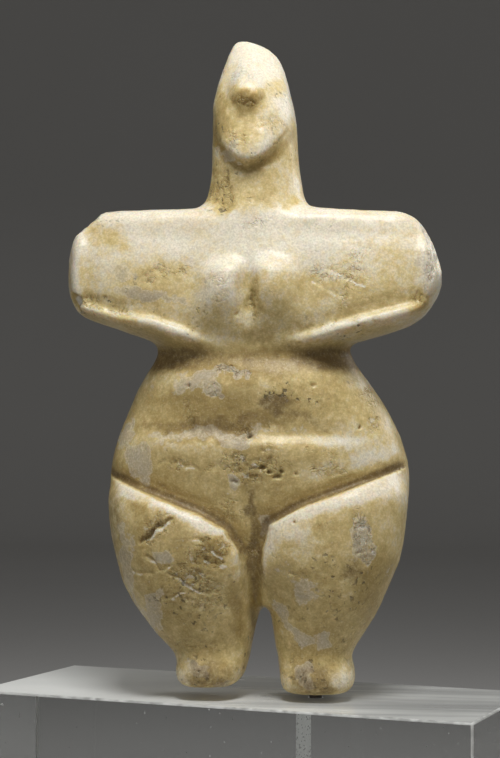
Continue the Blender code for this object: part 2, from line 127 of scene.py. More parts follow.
# Places: centre x, centre z, half width, half height, turn in degrees, strength
PATINA_PLACES = (
    (-46, 880, 20, 70, 8, 0.75),
    (-4, 910, 27, 24, 0, 1.2),
    (-2, 886, 10, 16, 0, 0.9),
    (-34, 950, 22, 44, 12, 0.5),
    (36, 925, 22, 20, 30, 0.6),
    (-46, 765, 26, 46, 0, 0.85),
    (60, 752, 18, 22, 0, 0.6),
    (6, 768, 60, 44, 0, 0.6),
    (-215, 692, 38, 30, -20, 0.8),
    (-155, 635, 90, 34, 0, 0.5),
    (215, 650, 34, 50, 0, 0.4),
    (8, 600, 28, 50, 0, 0.7),
    (52, 590, 30, 24, 0, 0.35),
    (255, 582, 34, 22, 20, 0.95),
    (-200, 566, 60, 14, -14, 0.6),
    (120, 540, 90, 14, 12, 0.3),
    (-150, 542, 90, 15, -14, 0.6),
    (192, 400, 40, 60, 0, 0.5),
    (-196, 420, 24, 60, -20, 0.7),
    (120, 606, 130, 36, -4, 0.42),
    (-20, 484, 140, 24, 0, 1.0),
    (-60, 440, 110, 40, 0, 0.95),
    (-50, 406, 140, 24, 0, 1.1),
    (-50, 386, 90, 12, 0, 1.0),
    (-150, 602, 66, 20, -5, 0.75),
    (100, 450, 110, 60, 0, 0.55),
    (-140, 440, 60, 60, 0, 0.6),
    (60, 340, 50, 36, 0, 0.5),
    (-62, 222, 42, 28, 0, 1.25),
    (-86, 190, 60, 40, 0, 0.8),
    (-160, 292, 24, 16, 0, 0.8),
    (165, 255, 44, 40, 0, 0.6),
    (-60, 300, 110, 14, -20, 0.5),
    (55, 205, 34, 34, 0, 0.7),
    (-26, 130, 20, 100, 0, 0.95),
    (190, 160, 60, 120, 0, 0.85),
    (100, 60, 60, 70, 0, 0.75),
    (-70, 60, 60, 60, 0, 0.75),
)
CLEAN_PLACES = (
    (-8, 968, 40, 60, 0, 0.2),
    (40, 880, 30, 60, 0, 0.2),
    (0, 700, 300, 36, 0, 0.2),
    (140, 655, 130, 34, 0, 0.12),
    (0, 655, 70, 20, 0, 0.2),
    (165, 546, 110, 20, 13, 0.2),
    (-110, 110, 90, 90, 0, 0.12),
    (120, 340, 70, 24, 10, 0.3),
    (185, 356, 50, 22, 16, 0.5),
    (135, 386, 80, 9, -2, 0.3),
    (-170, 302, 60, 9, -22, 0.4),
    (-82, 266, 60, 9, -22, 0.4),
    (80, 274, 60, 10, 24, 0.5),
    (170, 306, 70, 16, 20, 0.6),
    (60, 230, 40, 40, 0, 0.2),
)
SOIL_PLACES = (
    (-3, 872, 14, 12, 0, 0.3),
    (2, 600, 12, 40, 0, 0.4),
    (16, 566, 22, 10, -20, 0.4),
    (-150, 602, 60, 14, -4, 0.5),
    (46, 430, 34, 20, -8, 1.0),
    (96, 412, 60, 11, 0, 0.6),
    (-50, 404, 150, 18, 0, 0.7),
    (-40, 386, 90, 9, 0, 0.5),
    (5, 235, 12, 120, 0, 0.9),
    (-140, 251, 26, 7, 42, 1.0),
    (-62, 222, 36, 16, -10, 0.45),
    (-86, 150, 60, 40, 0, 0.35),
    (-200, 268, 15, 60, 8, 0.6),
    (-66, 30, 50, 34, 0, 0.8),
    (100, 18, 54, 34, 0, 0.85),
    (150, 186, 24, 26, 0, 0.8),
    (-210, 180, 14, 120, 0, 0.6),
    (-190, 482, 30, 20, 50, 0.6),
    (190, 490, 30, 20, -50, 0.5),
    (-260, 586, 16, 10, 0, 0.8),
    (-80, 48, 20, 8, -20, 0.7),
)
CRUST_PLACES = (
    (-70, 476, 60, 16, 10, 0.8),
    (-22, 484, 24, 9, 0, 1.0),
    (-52, 458, 13, 10, 0, 1.0),
    (-172, 350, 28, 36, -8, 1.0),
    (-190, 400, 12, 40, -20, 0.7),
    (-22, 378, 18, 11, 0, 1.0),
    (-22, 322, 16, 8, 0, 1.0),
    (-60, 390, 160, 10, 0, 0.5),
    (-182, 190, 13, 100, 6, 0.6),
    (-150, 120, 16, 50, -28, 0.8),
    (-127, 211, 14, 16, 0, 1.2),
    (165, 240, 20, 40, -8, 0.9),
    (22, 250, 14, 26, 0, 0.7),
    (-62, 602, 28, 22, 0, 0.45),
    (-150, 602, 66, 12, -5, 0.9),
    (-205, 640, 40, 18, 0, 0.5),
    (-36, 826, 16, 20, -20, 0.7),
    (-84, 42, 24, 14, 0, 0.8),
    (-46, 30, 12, 10, 0, 0.9),
    (86, 32, 16, 14, 0, 1.0),
    (44, 120, 14, 30, 20, 0.8),
    (70, 92, 36, 9, -14, 0.9),
    (112, 80, 9, 16, -34, 1.0),
    (88, 150, 16, 14, 0, 0.7),
    (258, 640, 9, 44, 0, 0.9),
)
SPECK_PLACES = (
    (132, 540, 26, 7, 8, 1.0),
    (168, 550, 20, 7, 14, 0.9),
    (-232, 566, 16, 7, -30, 0.8),
    (-180, 560, 30, 6, -18, 0.6),
    (-48, 765, 20, 42, 0, 0.8),
    (-50, 872, 16, 54, 8, 0.7),
    (-4, 812, 40, 10, 0, 0.6),
    (60, 448, 60, 20, 0, 0.9),
    (-205, 590, 40, 9, -12, 0.7),
    (0, 340, 60, 26, 0, 0.6),
    (-90, 150, 80, 60, 0, 0.6),
    (140, 170, 70, 70, 0, 0.6),
)
ROUGH_PLACES = (
    (143, 630, 64, 28, -6, 0.65),
    (-132, 636, 62, 20, 0, 0.7),
    (20, 704, 60, 20, 0, 0.45),
    (90, 706, 26, 26, 0, 0.45),
    (4, 596, 20, 40, 0, 0.8),
    (5, 345, 75, 24, 0, 0.85),
    (122, 345, 40, 16, 0, 0.7),
    (-105, 350, 30, 12, 0, 0.7),
    (195, 405, 20, 16, 0, 1.0),
    (172, 445, 24, 30, 0, 0.5),
    (-136, 254, 34, 20, 40, 0.9),
    (-62, 222, 44, 28, 0, 1.1),
    (-80, 178, 54, 26, -14, 0.9),
    (-70, 145, 44, 16, -14, 0.7),
    (165, 245, 22, 42, -6, 1.0),
    (105, 268, 40, 22, 10, 0.5),
    (85, 185, 34, 8, -6, 0.7),
    (-28, 838, 28, 28, 0, 0.8),
    (22, 866, 20, 12, 0, 0.5),
    (-8, 950, 24, 40, 0, 0.5),
    (-4, 904, 24, 14, 0, 0.9),
    (-44, 765, 22, 44, 0, 0.7),
    (-250, 590, 22, 14, 0, 1.0),
    (-205, 578, 44, 8, -10, 0.7),
    (262, 636, 9, 42, 0, 1.0),
    (250, 590, 20, 10, 20, 1.0),
    (-22, 484, 30, 10, 0, 0.9),
    (-52, 458, 14, 11, 0, 0.9),
    (160, 556, 90, 10, 12, 0.5),
)
# The lower edge of the face, with iron stain and soil under it
FACE_RIM = ((-62, 880), (-50, 848), (-32, 821), (-5, 803), (26, 819), (48, 846), (64, 880))
# Deep pits: x, z, half width, half height, depth
DEEP_PITS = (
    (22, 343, 7, 4, 6),
    (31, 335, 6, 3, 5),
    (43, 329, 7, 4, 5),
    (50, 336, 4, 3, 5),
    (-24, 322, 7, 3, 3),
    (2, 390, 4, 4, 6),
    (98, 342, 3, 2, 4),
    (70, 333, 3, 2, 4),
    (-18, 572, 3, 4, 2),
    (4, 596, 3, 12, 2),
    (96, 466, 5, 3, 3),
    (-92, 466, 3, 3, 4),
    (-262, 592, 5, 4, 2),
    (165, 402, 3, 3, 4),
    (-232, 584, 3, 3, 4),
    (70, 262, 3, 2, 4),
)
# Cracks: half width, depth, then points x, z
CRACKS = (
    (2.6, 6.0, ((-161, 230), (-148, 238), (-136, 247), (-127, 256), (-118, 268))),
    (1.2, 3.0, ((-154, 209), (-143, 205), (-136, 192), (-128, 192), (-119, 200))),
    (1.2, 2.6, ((-119, 186), (-108, 179), (-92, 169), (-78, 163), (-64, 153))),
    (1.2, 2.6, ((-92, 232), (-80, 236), (-66, 228), (-54, 216), (-40, 210))),
    (1.0, 2.2, ((-70, 206), (-58, 202), (-46, 196), (-36, 200))),
    (1.0, 2.0, ((-176, 190), (-160, 189), (-147, 187))),
    (1.0, 2.0, ((-124, 149), (-110, 152), (-96, 158))),
    (1.0, 2.0, ((-112, 352), (-98, 346), (-84, 346), (-76, 340))),
    (1.0, 2.0, ((120, 640), (138, 632), (156, 622), (172, 616))),
    (1.0, 2.0, ((96, 626), (112, 614), (128, 606), (150, 600))),
)
# Chips: a place on the skin x, y, z, facing x, y, z, how deep the break cuts, how far it reaches
CHIPS = (
    ((-252, -20, 722), (-0.62, -0.20, 0.76), 3.0, 34),
    ((270, -32, 687), (0.87, -0.22, 0.44), 3.5, 24),
    ((279, -34, 660), (0.94, -0.20, 0.26), 3.0, 20),
    ((-266, -50, 596), (-0.62, -0.66, -0.42), 2.5, 16),
)
CRACK_WANDER = 0.4
# The pale lips of the cracks lie this far to the right and down
LIP_RIGHT = 1.5
LIP_DOWN = 3.5
# How far above a thigh line the parts of its cut and the darkening above it begin to fade, and end
STEEP_CUT = (0, 12)
SOFT_CUT = (4, 26)
THIGH_DARKENING = (5, 38)
THIGH_DARK_EDGE = (6, 18)
# Bands above a line or below it: how far off their middle lies, and half their width
ABOVE_FOREARM = (5, 8)
RIM_STAIN = (-9, 12)
RIM_SOIL = (-15, 9)
RIM_REACH = 24
# Rounds of evening out that show the fine hollows, and the broad ones
FINE_ROUNDS = 5
BROAD_ROUNDS = 60

# Heights between which a feature comes in, or goes out where the larger one is first
LEGS_TO_HIPS = (20, 300)
THIGH_LINE_FOOT = (205, 240)
THIGH_DARKENING_FOOT = (190, 230)
ARMS_IN_FRONT = (470, 545)
WAIST_BEHIND = (340, 660)
UPPER_TO_LOWER_CHEST = (690, 600)
# Height of a band's middle, and half its height; the band under the arms is darkened as painted shade
UNDER_ARMS = (506, 30)
LOWER_FACE = (850, 90)


def smooth_step(low, high, value):
    """0 below low, 1 above high, and a smooth slope between them."""
    share = np.clip((value - low) / (high - low), 0.0, 1.0)
    return share * share * (3 - 2 * share)


def bump(centre, half_width, value):
    """1 at the centre, falling smoothly to 0 at half_width to either side."""
    return 1 - smooth_step(0.0, half_width, np.abs(value - centre))


def cell_number(cells, seed):
    """A repeatable number from 0 to 1 for each cell of a grid."""
    mixed = cells[:, 0] * 73856093 ^ cells[:, 1] * 19349663 ^ cells[:, 2] * 83492791 ^ (seed * 2654435)
    mixed = (mixed & 0x7FFFFFFF) * 1103515245 + 12345
    mixed = ((mixed >> 7) ^ mixed) & 0x7FFFFFFF
    mixed = mixed * 69069 + 1
    return ((mixed >> 5) & 0xFFFFF) / 0xFFFFF


def cloud(places, size, octaves, seed):
    """Soft random variation, about -1 to 1, with its largest features size units across."""
    total = np.zeros(len(places))
    share = 1.0
    weight = 0.0
    for octave in range(octaves):
        turned = places @ np.array(Matrix.Rotation(0.7 * octave + 0.3, 3, Vector((1, 2, 3))))
        scaled = turned / size + 17.3 * (octave + 1)
        low = np.floor(scaled).astype(np.int64)
        part = scaled - low
        part = part * part * part * (part * (part * 6 - 15) + 10)
        value = np.zeros(len(places))
        for corner in range(8):
            step = np.array((corner & 1, corner >> 1 & 1, corner >> 2 & 1))
            reach = np.prod(np.where(step, part, 1 - part), axis=1)
            value += reach * cell_number(low + step, seed + octave)
        total += share * (2 * value - 1)
        weight += share
        share *= 0.55
        size /= 2.03
    return 1.6 * total / weight


def line_distance(points, x, z):
    """Distance from a line of points, and the signed distance, positive above it."""
    nearest = np.full(len(x), np.inf)
    signed = np.zeros(len(x))
    for (x0, z0), (x1, z1) in zip(points, points[1:]):
        run, rise = x1 - x0, z1 - z0
        along = np.clip(((x - x0) * run + (z - z0) * rise) / (run**2 + rise**2), 0, 1)
        off_x = x - x0 - along * run
        off_z = z - z0 - along * rise
        distance = np.hypot(off_x, off_z)
        nearer = distance < nearest
        signed = np.where(nearer, np.copysign(distance, run * off_z - rise * off_x), signed)
        nearest = np.where(nearer, distance, nearest)
    return nearest, signed


def above_thigh_lines(x, z):
    """How far each point lies above the nearer thigh line, on the panel between the two."""
    return np.minimum(*(line_distance(line, x, z)[1] for line in (THIGH_LINE_LEFT, THIGH_LINE_RIGHT)))


def shared_round(values, edges, rounds):
    """Values evened out between neighbouring points."""
    count = len(values)
    neighbours = np.bincount(edges.ravel(), minlength=count)
    columns = values.reshape(count, -1).copy()
    for _ in range(rounds):
        for column in range(columns.shape[1]):
            row = columns[:, column]
            total = np.bincount(edges[:, 0], weights=row[edges[:, 1]], minlength=count)
            total += np.bincount(edges[:, 1], weights=row[edges[:, 0]], minlength=count)
            columns[:, column] = 0.5 * row + 0.5 * total / neighbours
    return columns.reshape(values.shape)


def read_points(mesh, name):
    """One vector for each point of a mesh: its place, co, or its normal."""
    values = np.empty(len(mesh.vertices) * 3)
    mesh.vertices.foreach_get(name, values)
    return values.reshape(-1, 3)


def read_edges(mesh):
    """The two points of each edge of a mesh."""
    edges = np.empty(len(mesh.edges) * 2, dtype=np.int32)
    mesh.edges.foreach_get("vertices", edges)
    return edges.reshape(-1, 2)


def figure_places(mesh):
    """The points of a mesh in figure units."""
    return (read_points(mesh, "co") - np.array(FIGURE_ORIGIN)) / UNIT


def set_figure_places(mesh, places):
    """Move the points of a mesh to places in figure units."""
    mesh.vertices.foreach_set("co", (places * UNIT + np.array(FIGURE_ORIGIN)).ravel())
    mesh.update()


def new_object(name, mesh):
    """A mesh object that is in the scene."""
    obj = bpy.data.objects.new(name, mesh)
    bpy.context.scene.collection.objects.link(obj)
    return obj


def with_modifiers(mesh, *modifiers):
    """A new mesh with the given modifiers applied, each a kind and its settings."""
    obj = new_object("worked_mesh", mesh)
    for kind, settings in modifiers:
        modifier = obj.modifiers.new(kind.lower(), kind)
        for key, value in settings.items():
            setattr(modifier, key, value)
    bpy.context.view_layer.update()
    worked = bpy.data.meshes.new_from_object(obj.evaluated_get(bpy.context.evaluated_depsgraph_get()))
    bpy.data.objects.remove(obj, do_unlink=True)
    return worked


def fine_skin(node, grid):
    """A fine, even skin over a copy of a solid's mesh, with its flat facets rounded out."""
    source = node.data.copy()
    source.materials.clear()
    bm = bmesh.new()
    bm.from_mesh(source)
    bmesh.ops.remove_doubles(bm, verts=bm.verts, dist=1e-6)
    bm.to_mesh(source)
    bm.free()
    return with_modifiers(
        source,
        ("SUBSURF", {"levels": 2, "render_levels": 2}),
        ("REMESH", {"mode": "VOXEL", "voxel_size": grid}),
        ("SMOOTH", {"factor": 0.5, "iterations": 8}),
    )


def wobbles(places):
    """How far the places' outlines wander at each point, to the right and up."""
    return tuple(11 * cloud(places, 44, 2, seed=s) + 6 * cloud(places, 13, 2, seed=s + 5) for s in (71, 81))


class Skin:
    """The marble's points in figure units, with what the carving and the weathering ask about each."""

    def __init__(self, mesh, front_from, front_to):
        self.places = figure_places(mesh)
        self.normals = read_points(mesh, "normal")
        self.x, _, self.z = self.places.T
        self.front = smooth_step(front_from, front_to, -self.normals[:, 1])
        self.wobble_x, self.wobble_z = wobbles(self.places)
        self.above_thighs = above_thigh_lines(self.x, self.z)

    def cloud(self, size, octaves, seed):
        """Soft random variation over the skin."""
        return cloud(self.places, size, octaves, seed)

    def on_places(self, table, wander=1.0):
        """The strongest of a table of soft oval places at each point of the front."""
        strongest = np.zeros(len(self.x))
        for centre_x, centre_z, half_width, half_height, turn, strength in table:
            angle = math.radians(turn)
            right = self.x - centre_x + wander * self.wobble_x
            up = self.z - centre_z + wander * self.wobble_z
            along = (right * math.cos(angle) + up * math.sin(angle)) / half_width
            across = (up * math.cos(angle) - right * math.sin(angle)) / half_height
            strongest = np.maximum(strongest, strength * (1 - smooth_step(0.3, 1.3, np.hypot(along, across))))
        return strongest * self.front

    def rough(self, elsewhere):
        """How flaked the marble is, with at most elsewhere away from the known places."""
        scattered = smooth_step(0.25, 0.8, self.cloud(70, 2, seed=19))
        return np.maximum(self.on_places(ROUGH_PLACES), elsewhere * scattered)

    def from_crack(self, points, right=0.0, down=0.0):
        """Distance from a crack that wanders a little, moved to the right and down."""
        wandered_x = self.x + CRACK_WANDER * self.wobble_x - right
        wandered_z = self.z - CRACK_WANDER * self.wobble_z + down
        return line_distance(points, wandered_x, wandered_z)[0]


def carve_details(mesh, looks):
    """Sharpen the carved lines, break the edges and weather the surface."""
    skin = Skin(mesh, 0.05, 0.45)
    x, z, front = skin.x, skin.z, skin.front

    sink = looks.unevenness * (1.5 * skin.cloud(60, 2, seed=11) + 0.6 * skin.cloud(17, 2, seed=12))
    above_forearm = z - np.interp(x, *np.transpose(FOREARM_LINE))
    sink += 1.2 * bump(*ABOVE_FOREARM, above_forearm) * front * smooth_step(60, 90, np.abs(x))

    rough = skin.rough(0.45)
    broken = 1 - smooth_step(0.0, 0.3, np.abs(skin.cloud(11, 3, seed=21)))
    sink += looks.flake_depth * 1.3 * broken * smooth_step(0.25, 0.8, rough)
    sink += looks.flake_depth * 0.9 * smooth_step(0.1, 0.5, skin.cloud(20, 3, seed=22)) * rough

    ragged = 1 + 0.5 * skin.cloud(5, 2, seed=52)
    for pit_x, pit_z, half_width, half_height, depth in DEEP_PITS:
        inside = 1 - np.hypot((x - pit_x) / half_width, (z - pit_z) / half_height) * ragged
        sink += looks.pit_depth * depth * smooth_step(0.0, 0.5, inside) * front

    for half_width, depth, points in CRACKS:
        beside = smooth_step(0.3 * half_width, half_width + 1.6, skin.from_crack(points))
        sink += 0.6 * depth * (1 - beside) * front

    above = skin.above_thighs
    cut = 0.7 * (1 - smooth_step(*STEEP_CUT, above)) + 0.3 * (1 - smooth_step(*SOFT_CUT, above))
    back = looks.line_depth * cut * smooth_step(-3, 1, above) * front * smooth_step(*THIGH_LINE_FOOT, z)
    places = skin.places - skin.normals * sink[:, None]
    places[:, 1] += back
    for chip in CHIPS:
        places = chipped(places, *chip)
    set_figure_places(mesh, places)


def chipped(places, spot, facing, deep, reach):
    """The places with a ragged, nearly flat break cut into them at a spot."""
    facing = np.array(facing) / np.linalg.norm(facing)
    offset = places - np.array(spot)
    above = offset @ facing + deep + 2.2 * cloud(places, 12, 3, seed=61)
    near = 1 - smooth_step(0.8 * reach, 1.3 * reach, np.linalg.norm(offset, axis=1))
    return places - (np.clip(above, 0, None) * near)[:, None] * facing


def keep_inside(mesh, low, high):
    """Hold every point within the solid's own box."""
    points = read_points(mesh, "co")
    mesh.vertices.foreach_set("co", np.clip(points, np.array(low), np.array(high)).ravel())
    mesh.update()


def add_mask(mesh, name, values):
    """Keep a value from 0 to 1 for each point, for the material to read."""
    mask = mesh.attributes.new(name, "FLOAT", "POINT")
    mask.data.foreach_set("value", np.clip(values, 0, 1).astype(np.float32))


def fresh_breaks(skin, rough, below_arms):
    """Pale new marble on the chips, on the lips of the cracks and as crumbs where the skin is flaked."""
    fresh = np.zeros(len(skin.x))
    for spot, _, _, reach in CHIPS:
        distance = np.linalg.norm(skin.places - np.array(spot), axis=1)
        fresh = np.maximum(fresh, 1 - smooth_step(0.3 * reach, 0.8 * reach, distance))
    lips = smooth_step(-0.5, 0.3, skin.cloud(16, 2, seed=95))
    for _, _, points in CRACKS:
        beside = smooth_step(0.4, 3.0, skin.from_crack(points, LIP_RIGHT, LIP_DOWN))
        fresh = np.maximum(fresh, 0.9 * lips * (1 - beside) * skin.front)
    crumbs = smooth_step(0.35, 0.6, skin.cloud(9, 2, seed=96)) * smooth_step(0.4, 0.9, rough)
    return np.maximum(fresh, 0.6 * crumbs * below_arms)


def add_weathering_masks(mesh):
    """Say for each point how stained, soiled, encrusted, rough and speckled the marble is there. The stain
    and dirt masks also carry painted shade under the arms, in broad hollows and on faces that look down, and
    painted light on faces that look up.
    """
    skin = Skin(mesh, 0.0, 0.4)
    places, normals, front = skin.places, skin.normals, skin.front
    x, z, above_thighs = skin.x, skin.z, skin.above_thighs

    edges = read_edges(mesh)
    fine = shared_round(places, edges, FINE_ROUNDS)
    fine_hollow = np.sum((fine - places) * normals, axis=1)
    broad = shared_round(fine, edges, BROAD_ROUNDS)
    broad_hollow = np.sum((broad - places) * normals, axis=1)

    behind = smooth_step(-0.2, 0.6, normals[:, 1])
    below_arms = 1 - (1 - behind) * smooth_step(*ARMS_IN_FRONT, z) - behind * smooth_step(*WAIST_BEHIND, z)
    under_arms = bump(*UNDER_ARMS, z)
    low_down = 1 - smooth_step(*LEGS_TO_HIPS, z)
    low_chest = smooth_step(*UPPER_TO_LOWER_CHEST, z) * front * (1 - below_arms)
    facing_down = smooth_step(0.1, -0.8, normals[:, 2])
    facing_up = smooth_step(0.1, 0.8, normals[:, 2])
    at_thigh_line = smooth_step(-2, 2, above_thighs) * front * smooth_step(*THIGH_DARKENING_FOOT, z)
    rim_distance, above_rim = line_distance(FACE_RIM, x, z)
    at_rim = (rim_distance < RIM_REACH) * front

    # Darker below the arms; painted shade on faces that look down and painted light on faces that look up
    patina = 0.14 + 0.42 * below_arms + 0.02 * low_down + 0.3 * facing_down - 0.1 * facing_up
    # Darker over the lower face, and painted shade in the band under the arms
    patina += 0.3 * bump(*LOWER_FACE, z) * front + 0.7 * under_arms
    patina += (0.2 + 0.12 * smooth_step(40, 120, -x)) * low_chest
    # Darker in broad hollows, partly staining and partly painted shade like ambient occlusion; lighter on
    # broad swellings
    patina += 0.4 * smooth_step(0.5, 4.5, broad_hollow) - 0.4 * smooth_step(0.8, 4.0, -broad_hollow)
    # A darker band just above each thigh line
    patina += 0.5 * at_thigh_line * (1 - smooth_step(*THIGH_DARKENING, above_thighs))
    patina += (0.18 + 0.14 * (1 - front)) * skin.cloud(110, 3, seed=91)
    stained = np.maximum(skin.on_places(PATINA_PLACES), 1.2 * bump(*RIM_STAIN, above_rim) * at_rim)
    patina = np.maximum(patina, 0.35 * patina + 0.75 * stained)
    patina -= skin.on_places(CLEAN_PLACES, wander=0.4)
    add_mask(mesh, "patina", patina)

    # Dirt in fine hollows, and painted shade in broad ones
    soil = 0.5 * smooth_step(0.5, 1.6, fine_hollow) + 0.3 * smooth_step(2.0, 7.0, broad_hollow)
    soil = np.maximum(soil, 1.2 * at_thigh_line * (1 - smooth_step(*THIGH_DARK_EDGE, above_thighs)))
    # Painted shade under the arms, stronger at the sides
    soil = np.maximum(soil, (0.65 + 0.8 * smooth_step(50, 120, np.abs(x))) * under_arms)
    soil = np.maximum(soil, 0.4 * bump(*RIM_SOIL, above_rim) * at_rim)
    soil += 0.3 * low_down * smooth_step(0.0, 0.7, skin.cloud(40, 3, seed=92))
    soil = np.maximum(soil, skin.on_places(SOIL_PLACES))
    add_mask(mesh, "soil", soil)

    scattered = (0.1 + 0.5 * low_down) * smooth_step(0.2, 0.8, skin.cloud(60, 3, seed=93))
    add_mask(mesh, "crust", np.maximum(skin.on_places(CRUST_PLACES), scattered))

    rough = skin.rough(0.5)
    add_mask(mesh, "rough", rough)
    add_mask(mesh, "fresh", fresh_breaks(skin, rough, below_arms))

    scattered = 0.2 + 0.2 * low_down + 0.2 * smooth_step(0.2, 0.8, skin.cloud(80, 2, seed=94))
    add_mask(mesh, "specks", np.maximum(skin.on_places(SPECK_PLACES), scattered))


class Shader:
    """A material's node tree, built one node at a time."""

    def __init__(self, name):
        self.material = bpy.data.materials.new(name)
        self.material.use_nodes = True
        self.tree = self.material.node_tree
        self.surface = self.tree.nodes["Principled BSDF"]
        self.place = self.add("ShaderNodeTexCoord").outputs["Object"]

    def add(self, kind, settings=None, **inputs):
        """A new node with its settings, and its input sockets set by name."""
        node = self.tree.nodes.new(kind)
        for key, value in (settings or {}).items():
            setattr(node, key, value)
        for key, value in inputs.items():
            self.put(node.inputs[key.replace("_", " ")], value)
        return node

    def put(self, socket, value):
        """Link an output to a socket, or give the socket a value."""
        if isinstance(value, bpy.types.NodeSocket):
            self.tree.links.new(value, socket)
        elif socket.type == "RGBA" and len(value) == 3:
            socket.default_value = (*value, 1)
        else:
            socket.default_value = value

    def set(self, name, value):
        """Give the surface one of its values by name."""
        self.put(self.surface.inputs[name], value)

    def noise(self, scale, detail=3.0, roughness=0.55, distortion=0.0, stretch=None):
        """Cloudy noise from 0 to 1, drawn out along the axes that stretch makes small."""
        place = self.place
        if stretch:
            mapping = self.add("ShaderNodeMapping", Vector=place, Scale=stretch)
            place = mapping.outputs["Vector"]
        node = self.add(
            "ShaderNodeTexNoise",
            Vector=place,
            Scale=scale,
            Detail=detail,
            Roughness=roughness,
            Distortion=distortion,
        )
        return node.outputs["Fac"]

    def mask(self, name):
        """A value that is kept on the mesh for each point."""
        return self.add("ShaderNodeAttribute", {"attribute_name": name}).outputs["Fac"]

    def sum(self, *terms):
        """The sum of terms, each a socket or a number, or a pair of socket and weight."""
        total = None
        for term in terms:
            if isinstance(term, tuple):
                term = self.maths("MULTIPLY", *term)
            total = term if total is None else self.maths("ADD", total, term)
        return total

    def maths(self, operation, first, second=0.0):
        """One operation on one or two values."""
        node = self.add("ShaderNodeMath", {"operation": operation})
        self.put(node.inputs[0], first)
        self.put(node.inputs[1], second)
        return node.outputs[0]

    def slope(self, value, low, high, start=0.0, end=1.0):
        """start where value is below low, end where it is above high, and smooth between them."""
        node = self.add("ShaderNodeMapRange", {"interpolation_type": "SMOOTHSTEP"}, Value=value)
        node.inputs["From Min"].default_value = low
        node.inputs["From Max"].default_value = high
        node.inputs["To Min"].default_value = start
        node.inputs["To Max"].default_value = end
        return node.outputs["Result"]

    def mix(self, share, first, second):
        """A colour between two, by share. A mix node's colour sockets are found by their numbers."""
        node = self.add("ShaderNodeMix", {"data_type": "RGBA", "clamp_factor": True})
        self.put(node.inputs[0], share)
        self.put(node.inputs[6], first)
        self.put(node.inputs[7], second)
        return node.outputs[2]

    def bumps(self, *layers):
        """Fine relief for the surface, each layer a height socket, a strength and a distance."""
        normal = None
        for height, strength, distance in layers:
            node = self.add("ShaderNodeBump", Height=height, Strength=strength, Distance=distance)
            if normal:
                self.put(node.inputs["Normal"], normal)
            normal = node.outputs["Normal"]
        self.set("Normal", normal)


